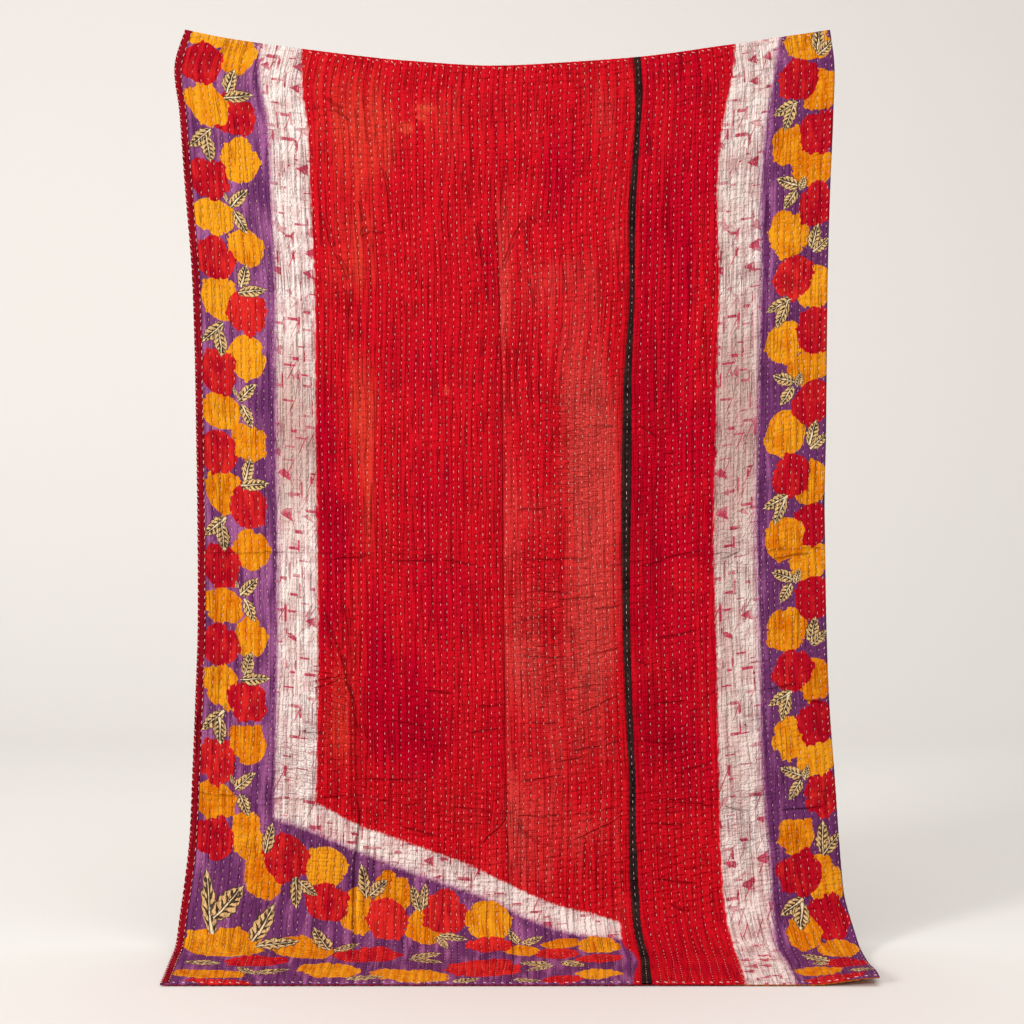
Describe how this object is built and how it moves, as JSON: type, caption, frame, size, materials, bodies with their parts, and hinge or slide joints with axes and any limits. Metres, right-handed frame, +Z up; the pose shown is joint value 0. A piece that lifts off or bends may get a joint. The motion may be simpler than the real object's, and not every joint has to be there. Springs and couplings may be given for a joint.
{
  "type": "kantha quilt",
  "caption": "Patchwork kantha quilt hanging from its top edge, its lower end running forward over the floor; floral borders, pale bands, red ground, rows of running stitch.",
  "frame": {"origin": "middle of the top edge, between the face cloth and the back cloth", "axes": "+Z up, +X to the viewer's right, the face looks along -Y; the hem runs forward along -Y over a floor at z = -1.71 m"},
  "size_m": [1.3203, 0.3238, 1.7819],
  "materials": {
    "printed_cotton": "soft worn printed cotton, matte, puckered by rows of running stitch",
    "black_cotton": "matte black cotton",
    "back_cotton": "plain deep red cotton, matte"
  },
  "bodies": {
    "root": {"face_panel_left": "printed_cotton", "face_panel_right": "printed_cotton", "black_strip": "black_cotton", "back_cloth": "back_cotton"}
  },
  "joints": []
}
